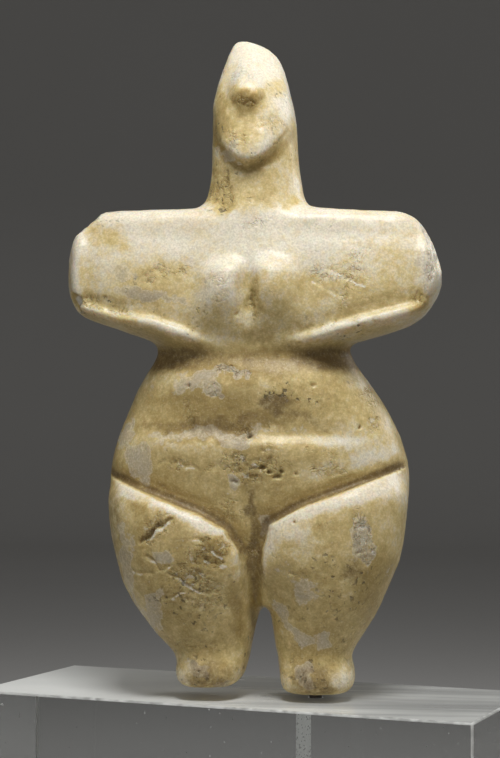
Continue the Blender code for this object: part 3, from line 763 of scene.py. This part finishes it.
def marble_material(looks):
    """Warm, slightly see-through marble with stains, dirt in the hollows, pale crust and small breaks; its
    stain and dirt masks also paint shade under the arms, in broad hollows and on faces that look down.
    """
    shader = Shader("weathered_marble")
    broad = shader.noise(36, 4, 0.6, 0.3)
    middle = shader.noise(140, 6, 0.66, 0.4)
    fine = shader.noise(680, 5, 0.7)
    grain = shader.noise(2100, 3, 0.6)

    # The stain mask also carries painted shade on downward faces, under the arms and in broad hollows, and
    # painted light on upward faces
    patina = shader.sum(shader.mask("patina"), (broad, 0.5), (middle, 0.7), (fine, 1.0), (grain, 0.3), -1.25)
    colour = shader.mix(shader.slope(patina, -0.05, 0.55), looks.ivory, looks.honey)
    colour = shader.mix(shader.slope(patina, 0.36, 0.85), colour, looks.tan)
    colour = shader.mix(shader.slope(patina, 0.8, 1.3), colour, looks.ochre)

    crust = shader.sum(shader.mask("crust"), (middle, 1.4), (fine, 1.1), -1.25)
    crust_share = shader.slope(crust, 0.25, 0.85, 0.0, 0.7)
    colour = shader.mix(crust_share, colour, looks.crust)
    crust_start = shader.slope(crust, 0.3, 0.45)
    crust_rim = shader.maths("MULTIPLY", crust_start, shader.slope(crust, 0.45, 0.65, 1, 0))
    colour = shader.mix(shader.maths("MULTIPLY", crust_rim, 0.35), colour, looks.fresh)

    # Dirt, and painted shade under the arms and in broad hollows, broken into clumps
    clumps = shader.sum((middle, 1.2), (fine, 1.6), -0.4)
    soil = shader.maths("MULTIPLY", shader.mask("soil"), clumps)
    soil_share = shader.slope(soil, 0.12, 1.25, 0.0, 0.85)
    colour = shader.mix(soil_share, colour, looks.soil)

    twisted = shader.noise(330, 2, 0.5, 1.6)
    off_middle = shader.maths("ABSOLUTE", shader.sum(twisted, -0.5))
    line = shader.slope(off_middle, 0.0, 0.035, 1.0, 0.0)
    nicks = shader.slope(shader.noise(700, 3, 0.55, 0.8), 0.56, 0.66)
    flaked = shader.sum(shader.mask("rough"), (shader.noise(190, 3, 0.6), 1.4), -0.7)
    flaked_share = shader.slope(flaked, 0.35, 0.85)
    broken = shader.maths("MULTIPLY", shader.maths("MAXIMUM", line, nicks), flaked_share)
    colour = shader.mix(shader.maths("MULTIPLY", broken, 0.15), colour, looks.soil)

    fresh = shader.sum(shader.mask("fresh"), (fine, 1.2), (middle, 0.9), -1.05)
    fresh_share = shader.slope(fresh, 0.2, 0.9, 0.0, 0.8)
    colour = shader.mix(fresh_share, colour, looks.fresh)

    dots = shader.slope(shader.noise(900, 2, 0.5), 0.57, 0.66)
    speck = shader.sum(shader.mask("specks"), (shader.noise(260, 3, 0.6), 1.6), -0.8)
    speck_share = shader.slope(speck, 0.3, 0.8)
    pitted = shader.maths("MULTIPLY", dots, speck_share)
    colour = shader.mix(shader.maths("MULTIPLY", pitted, 0.75), colour, looks.speck)
    colour = shader.mix(shader.slope(grain, 0.28, 0.7, 0.3, 0.0), colour, looks.soil)
    colour = shader.mix(shader.slope(grain, 0.5, 0.8, 0.0, 0.22), colour, looks.fresh)
    shader.set("Base Color", colour)

    shader.set("Roughness", shader.sum((middle, 0.14), (crust_share, 0.2), (soil_share, 0.2), looks.polish))
    shader.set("Subsurface Weight", looks.glow)
    shader.set("Subsurface Radius", (1.0, 0.62, 0.34))
    shader.set("Subsurface Scale", 0.0035)
    shader.set("Specular IOR Level", 0.35)
    shader.bumps(
        (middle, 0.25, 0.0003),
        (fine, 0.4, 0.00018),
        (grain, 0.3, 0.00006),
        (shader.maths("SUBTRACT", 1.0, broken), 0.8, 0.0004),
        (shader.maths("SUBTRACT", 1.0, pitted), 0.6, 0.0002),
    )
    return shader.material


def pin_material(looks):
    """Dark, dull steel with drawn marks and a little rust."""
    shader = Shader("dull_steel")
    drawn = shader.noise(900, 3, 0.6, stretch=(1, 1, 0.08))
    rust = shader.noise(700, 4, 0.65)
    share = shader.slope(rust, 0.52, 0.68)
    shader.set("Base Color", shader.mix(share, looks.steel, looks.rust))
    shader.set("Metallic", shader.slope(rust, 0.52, 0.68, 0.9, 0.1))
    shader.set("Roughness", shader.sum((drawn, 0.3), (share, 0.3), 0.25))
    shader.bumps((drawn, 0.3, 0.00005), (rust, 0.2, 0.00008))
    return shader.material


def acrylic_material(looks):
    """Polished clear acrylic; its top carries a thin film of dust with wipe marks and a few specks, laid
    thicker over the left half as painted light that lightens that shaded side.
    """
    shader = Shader("clear_acrylic")
    wiped = shader.noise(45, 5, 0.65, 0.3, stretch=(0.12, 1, 1))
    speck = shader.slope(shader.noise(900, 2, 0.5), 0.72, 0.76)
    normal = shader.add("ShaderNodeNewGeometry").outputs["Normal"]
    upward = shader.slope(shader.add("ShaderNodeSeparateXYZ", Vector=normal).outputs["Z"], 0.8, 0.95)
    across = shader.add("ShaderNodeSeparateXYZ", Vector=shader.place).outputs["X"]
    # Painted light: extra film on the left half of the top, lightening the side where the figure's shadow
    # falls
    painted_light_to_left = shader.slope(across, -0.05, 0.05, 0.5, 0.0)
    dust_and_painted_light = shader.maths("MULTIPLY", upward, shader.sum(shader.slope(wiped, 0.38, 0.62, 0.5, 0.8), painted_light_to_left))
    dust_and_painted_light = shader.maths("MAXIMUM", dust_and_painted_light, shader.slope(speck, 0.0, 1.0, 0.0, 0.6))
    shader.set("Base Color", shader.mix(dust_and_painted_light, looks.acrylic, looks.frosted))
    shader.set("Roughness", shader.sum((dust_and_painted_light, 0.3), 0.015))
    shader.set("Transmission Weight", shader.maths("SUBTRACT", 1.0, dust_and_painted_light))
    shader.set("IOR", ACRYLIC_IOR)
    return shader.material


def edge_material(looks):
    """The sanded, slightly frosted edges of the block, which catch the light."""
    shader = Shader("sanded_acrylic")
    scratched = shader.noise(600, 3, 0.6)
    shader.set("Base Color", looks.frosted)
    shader.set("Roughness", shader.sum((scratched, 0.3), 0.2))
    shader.set("Transmission Weight", shader.slope(scratched, 0.35, 0.65, 0.2, 0.7))
    shader.set("IOR", ACRYLIC_IOR)
    return shader.material


def underside_material(looks):
    """The block's frosted underside, with a faint painted glow that stands in for the lit floor seen through
    the block.
    """
    shader = Shader("frosted_underside")
    cloudy = shader.noise(120, 3, 0.6)
    shader.set("Base Color", looks.frosted)
    shader.set("Roughness", shader.sum((cloudy, 0.3), 0.3))
    # Painted glow: the underside is no lamp
    shader.set("Emission Color", (*looks.frosted, 1))
    shader.set("Emission Strength", 0.14)
    return shader.material


def drilled_material(looks):
    """The frosted, chalky wall of the drilled hole, with dark specks of swarf and a faint painted glow."""
    shader = Shader("drilled_acrylic")
    turned = shader.noise(500, 3, 0.6, stretch=(0.3, 0.3, 4))
    swarf = shader.noise(1700, 2, 0.55)
    share = shader.slope(swarf, 0.58, 0.66)
    shader.set("Base Color", shader.mix(share, looks.frosted, looks.swarf))
    shader.set("Roughness", shader.sum((turned, 0.3), 0.5))
    # Painted glow: the wall is no lamp; this stands in for the light that reaches it through the block
    shader.set("Emission Color", (*looks.frosted, 1))
    shader.set("Emission Strength", 0.2)
    shader.bumps((turned, 0.5, 0.00005))
    return shader.material


def stage_material(looks):
    """Plain matt board with a barely visible unevenness."""
    shader = Shader("plain_board")
    cloudy = shader.noise(5, 3)
    darker = tuple(0.93 * share for share in looks.floor)
    shader.set("Base Color", shader.mix(cloudy, looks.floor, darker))
    shader.set("Roughness", 0.8)
    return shader.material


class FigurineLooks(bpy.types.PropertyGroup):
    """Sizes, finish and colours of the marble"""

    grid: bpy.props.FloatProperty(
        name="Skin Grid",
        description="Spacing of the marble's fine skin",
        default=0.00042,
        unit="LENGTH",
    )
    triangles: bpy.props.IntProperty(
        name="Triangles",
        description="Triangles that the marble keeps",
        default=190000,
    )
    line_depth: bpy.props.FloatProperty(
        name="Line Depth",
        description="How deep the thigh lines are cut, in figure units",
        default=8.0,
    )
    unevenness: bpy.props.FloatProperty(
        name="Unevenness",
        description="How uneven the carver left the surface",
        default=0.6,
    )
    flake_depth: bpy.props.FloatProperty(
        name="Flake Depth",
        description="How deep the flaked places are",
        default=1.0,
    )
    pit_depth: bpy.props.FloatProperty(
        name="Pit Depth",
        description="How deep the pits are",
        default=1.0,
    )
    polish: bpy.props.FloatProperty(
        name="Base Roughness",
        description="Roughness of the cleanest marble",
        default=0.3,
        subtype="FACTOR",
    )
    glow: bpy.props.FloatProperty(
        name="Glow",
        description="How much light passes under the marble's surface",
        default=0.45,
        subtype="FACTOR",
    )
    ivory: bpy.props.FloatVectorProperty(
        name="Ivory",
        description="Clean marble",
        default=(0.86, 0.80, 0.65),
        subtype="COLOR",
    )
    # Honey, tan and ochre also colour the painted shade that the stain mask carries
    honey: bpy.props.FloatVectorProperty(
        name="Honey",
        description="Marble with a thin patina",
        default=(0.75, 0.60, 0.28),
        subtype="COLOR",
    )
    tan: bpy.props.FloatVectorProperty(
        name="Tan",
        description="Marble with a full patina",
        default=(0.51, 0.38, 0.145),
        subtype="COLOR",
    )
    ochre: bpy.props.FloatVectorProperty(
        name="Ochre",
        description="Strong iron stain",
        default=(0.32, 0.21, 0.06),
        subtype="COLOR",
    )
    crust: bpy.props.FloatVectorProperty(
        name="Crust",
        description="Pale grey lime crust",
        default=(0.61, 0.55, 0.43),
        subtype="COLOR",
    )
    # Also the colour of the painted shade under the arms and in broad hollows
    soil: bpy.props.FloatVectorProperty(
        name="Soil",
        description="Brown soil in the hollows",
        default=(0.17, 0.108, 0.038),
        subtype="COLOR",
    )
    fresh: bpy.props.FloatVectorProperty(
        name="Fresh",
        description="Freshly broken marble",
        default=(0.88, 0.83, 0.70),
        subtype="COLOR",
    )
    speck: bpy.props.FloatVectorProperty(
        name="Speck",
        description="Dark olive specks",
        default=(0.075, 0.06, 0.028),
        subtype="COLOR",
    )


class StandLooks(bpy.types.PropertyGroup):
    """Sizes and colours of the block and the pin"""

    edge: bpy.props.FloatProperty(
        name="Edge Rounding",
        description="Width of the block's sanded edges",
        default=0.0005,
        unit="LENGTH",
    )
    acrylic: bpy.props.FloatVectorProperty(
        name="Acrylic",
        description="Tint of the clear block",
        default=(0.52, 0.53, 0.525),
        subtype="COLOR",
    )
    # Also the colour of the painted glow on the underside and the hole's wall, and of the painted light on
    # the block's top
    frosted: bpy.props.FloatVectorProperty(
        name="Frosting",
        description="Colour of the dust, the sanded edges, the underside and the drilled hole's wall",
        default=(0.82, 0.83, 0.80),
        subtype="COLOR",
    )
    swarf: bpy.props.FloatVectorProperty(
        name="Swarf",
        description="Dark specks on the drilled hole's wall",
        default=(0.05, 0.045, 0.04),
        subtype="COLOR",
    )
    steel: bpy.props.FloatVectorProperty(
        name="Steel",
        description="Dark steel of the pin",
        default=(0.10, 0.09, 0.08),
        subtype="COLOR",
    )
    rust: bpy.props.FloatVectorProperty(
        name="Rust",
        description="Rust on the pin",
        default=(0.09, 0.045, 0.02),
        subtype="COLOR",
    )


class StageLooks(bpy.types.PropertyGroup):
    """Colour of the stage and strength of its lights"""

    floor: bpy.props.FloatVectorProperty(
        name="Floor",
        description="Colour of the floor and the backdrop",
        default=(0.39, 0.383, 0.372),
        subtype="COLOR",
    )
    key: bpy.props.FloatProperty(
        name="Key Light",
        description="Strength of the soft light above, in watts",
        default=0.46,
    )
    fill: bpy.props.FloatProperty(
        name="Fill Light",
        description="Strength of the soft light in front, in watts",
        default=0.6,
    )
    rim: bpy.props.FloatProperty(
        name="Rim Light",
        description="Strength of the soft light behind, in watts",
        default=0.16,
    )
    room: bpy.props.FloatProperty(
        name="Room Light",
        description="Strength of the light from all round",
        default=0.2,
    )


class FIGURINE_OT_marble(bpy.types.Operator):
    """Carve and weather the marble over the figure's solid"""

    bl_idname = "figurine.add_marble"
    bl_label = "Marble Figure"

    def execute(self, context):
        looks = context.scene.figurine_looks
        mesh = fine_skin(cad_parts["marble_figurine"], looks.grid)
        carve_details(mesh, looks)
        triangles_now = 2 * len(mesh.polygons)
        mesh = with_modifiers(mesh, ("DECIMATE", {"ratio": min(1.0, looks.triangles / triangles_now)}))
        keep_inside(mesh, FIGURE_LOW, FIGURE_HIGH)
        add_weathering_masks(mesh)
        mesh.shade_smooth()
        mesh.materials.append(marble_material(looks))
        marble = new_object("carved_marble", mesh)
        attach(marble, "root")
        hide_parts("marble_figurine")
        return {"FINISHED"}


class FIGURINE_OT_pin(bpy.types.Operator):
    """Give the mounting pin its dull steel"""

    bl_idname = "figurine.finish_pin"
    bl_label = "Mounting Pin"

    def execute(self, context):
        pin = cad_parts["mounting_pin"]
        pin.material_slots[0].material = pin_material(context.scene.stand_looks)
        return {"FINISHED"}


class FIGURINE_OT_block(bpy.types.Operator):
    """Build the polished clear block with its drilled hole"""

    bl_idname = "figurine.add_block"
    bl_label = "Clear Block"

    def execute(self, context):
        looks = context.scene.stand_looks
        bm = bmesh.new()
        bmesh.ops.create_cube(bm, size=1, matrix=Matrix.Diagonal((BLOCK_WIDTH, BLOCK_DEPTH, BLOCK_TOP, 1)))
        bmesh.ops.bevel(bm, geom=bm.edges[:], offset=looks.edge, segments=3, profile=0.5, affect="EDGES")
        turn = Matrix.Rotation(BLOCK_TURN, 4, "Z")
        bmesh.ops.transform(bm, matrix=Matrix.Translation((0, 0, BLOCK_TOP / 2)) @ turn, verts=bm.verts)
        mesh = bpy.data.meshes.new("clear_block")
        bm.to_mesh(mesh)
        bm.free()

        drill = bmesh.new()
        middle = BLOCK_TOP + (DRILL_OVER_TOP - HOLE_DEPTH) / 2
        bmesh.ops.create_cone(
            drill,
            cap_ends=True,
            segments=64,
            radius1=HOLE_RADIUS,
            radius2=HOLE_RADIUS,
            depth=HOLE_DEPTH + DRILL_OVER_TOP,
            matrix=Matrix.Translation((PIN_CENTRE.x, PIN_CENTRE.y, middle)),
        )
        drill_mesh = bpy.data.meshes.new("drill")
        drill.to_mesh(drill_mesh)
        drill.free()
        cutter = new_object("drill", drill_mesh)
        settings = {"operation": "DIFFERENCE", "solver": "EXACT", "object": cutter}
        mesh = with_modifiers(mesh, ("BOOLEAN", settings))
        bpy.data.objects.remove(cutter, do_unlink=True)

        mesh.materials.clear()
        for material in (acrylic_material, drilled_material, edge_material, underside_material):
            mesh.materials.append(material(looks))
        for face in mesh.polygons:
            face.material_index = self.finish_of(face, turn)
            face.use_smooth = face.material_index == DRILLED and abs(face.normal.z) < 0.5
        block = new_object("polished_block", mesh)
        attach(block, "root")
        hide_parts("acrylic_block")
        return {"FINISHED"}

    def finish_of(self, face, turn):
        """Which of the block's materials a face has."""
        below_top = BLOCK_TOP - face.center.z
        if (face.center - PIN_CENTRE).xy.length < HOLE_RADIUS + TOUCH and below_top > TOUCH:
            return DRILLED
        if face.normal.z < -FLAT_SIDE:
            return UNDERSIDE
        along_block = turn.inverted().to_3x3() @ face.normal
        return SANDED if max(abs(share) for share in along_block) < FLAT_SIDE else CLEAR


class FIGURINE_OT_stage(bpy.types.Operator):
    """Set up the floor, the lights and the camera"""

    bl_idname = "figurine.add_stage"
    bl_label = "Stage"

    def execute(self, context):
        looks = context.scene.stage_looks
        self.add_floor(looks)
        for name, place, size, spread, strength in LIGHTS:
            add_light(name, Vector(place), size, spread, getattr(looks, strength))
        world = bpy.data.worlds.new("room")
        world.use_nodes = True
        background = world.node_tree.nodes["Background"]
        background.inputs["Color"].default_value = (1.0, 0.99, 0.97, 1)
        background.inputs["Strength"].default_value = looks.room
        context.scene.world = world
        context.scene.view_settings.view_transform = "Standard"
        add_camera(context.scene)
        return {"FINISHED"}

    def add_floor(self, looks):
        """One sheet that runs flat under the block and curves up behind it."""
        bm = bmesh.new()
        profile = [(FLOOR_FRONT, 0.0), (FLOOR_BEND_START, 0.0)]
        for step in range(1, FLOOR_BEND_STEPS + 1):
            angle = math.pi / 2 * step / FLOOR_BEND_STEPS
            back = FLOOR_BEND_START + FLOOR_BEND * math.sin(angle)
            profile.append((back, FLOOR_BEND - FLOOR_BEND * math.cos(angle)))
        profile.append((FLOOR_BEND_START + FLOOR_BEND, FLOOR_TOP))
        sides = (-FLOOR_HALF_WIDTH, FLOOR_HALF_WIDTH)
        rows = [[bm.verts.new((side, y, z)) for side in sides] for y, z in profile]
        for near, far in zip(rows, rows[1:]):
            bm.faces.new((near[0], near[1], far[1], far[0]))
        mesh = bpy.data.meshes.new("floor")
        bm.to_mesh(mesh)
        bm.free()
        mesh.shade_smooth()
        mesh.materials.append(stage_material(looks))
        new_object("floor", mesh)


def add_light(name, place, size, spread, power):
    """A square soft light that points at the figure."""
    lamp = bpy.data.lights.new(name, "AREA")
    lamp.energy = power
    lamp.size = size
    lamp.spread = math.radians(spread)
    obj = bpy.data.objects.new(name, lamp)
    obj.location = place
    obj.rotation_euler = (LIGHT_AIM - place).to_track_quat("-Z", "Y").to_euler()
    bpy.context.scene.collection.objects.link(obj)


def add_camera(scene):
    """The camera stands a little to one side of the figure's front and looks slightly up, as in the photo."""
    right = Vector((math.cos(CAMERA_TURN), math.sin(CAMERA_TURN), 0))
    ahead = Vector((-math.sin(CAMERA_TURN), math.cos(CAMERA_TURN), 0))
    lens = bpy.data.cameras.new("camera")
    lens.sensor_width = CAMERA_SENSOR
    lens.lens = CAMERA_LENS
    lens.clip_start = 0.01
    camera = bpy.data.objects.new("camera", lens)
    above_hole = Vector((PIN_CENTRE.x, PIN_CENTRE.y, BLOCK_TOP + CAMERA_ABOVE))
    camera.location = above_hole - CAMERA_LEFT * right - CAMERA_BACK * ahead
    camera.rotation_euler = (CAMERA_PITCH, 0, CAMERA_TURN)
    scene.collection.objects.link(camera)
    scene.camera = camera


class FIGURINE_PT_panel(bpy.types.Panel):
    """Lists the pieces of the figurine"""

    bl_label = "Figurine"
    bl_space_type = "VIEW_3D"
    bl_region_type = "UI"
    bl_category = "Figurine"

    def draw(self, context):
        column = self.layout.column()
        for operator in (FIGURINE_OT_marble, FIGURINE_OT_pin, FIGURINE_OT_block, FIGURINE_OT_stage):
            column.operator(operator.bl_idname)
        for looks in (context.scene.figurine_looks, context.scene.stand_looks, context.scene.stage_looks):
            box = column.box()
            for name in looks.bl_rna.properties.keys():
                if name not in ("rna_type", "name"):
                    box.prop(looks, name)


CLASSES = (
    FigurineLooks,
    StandLooks,
    StageLooks,
    FIGURINE_OT_marble,
    FIGURINE_OT_pin,
    FIGURINE_OT_block,
    FIGURINE_OT_stage,
    FIGURINE_PT_panel,
)


def register():
    for cls in CLASSES:
        bpy.utils.register_class(cls)
    bpy.types.Scene.figurine_looks = bpy.props.PointerProperty(type=FigurineLooks)
    bpy.types.Scene.stand_looks = bpy.props.PointerProperty(type=StandLooks)
    bpy.types.Scene.stage_looks = bpy.props.PointerProperty(type=StageLooks)


def unregister():
    del bpy.types.Scene.figurine_looks
    del bpy.types.Scene.stand_looks
    del bpy.types.Scene.stage_looks
    for cls in reversed(CLASSES):
        bpy.utils.unregister_class(cls)


def main():
    register()
    bpy.ops.figurine.add_marble()
    bpy.ops.figurine.finish_pin()
    bpy.ops.figurine.add_block()
    bpy.ops.figurine.add_stage()


if __name__ == "__main__":
    main()
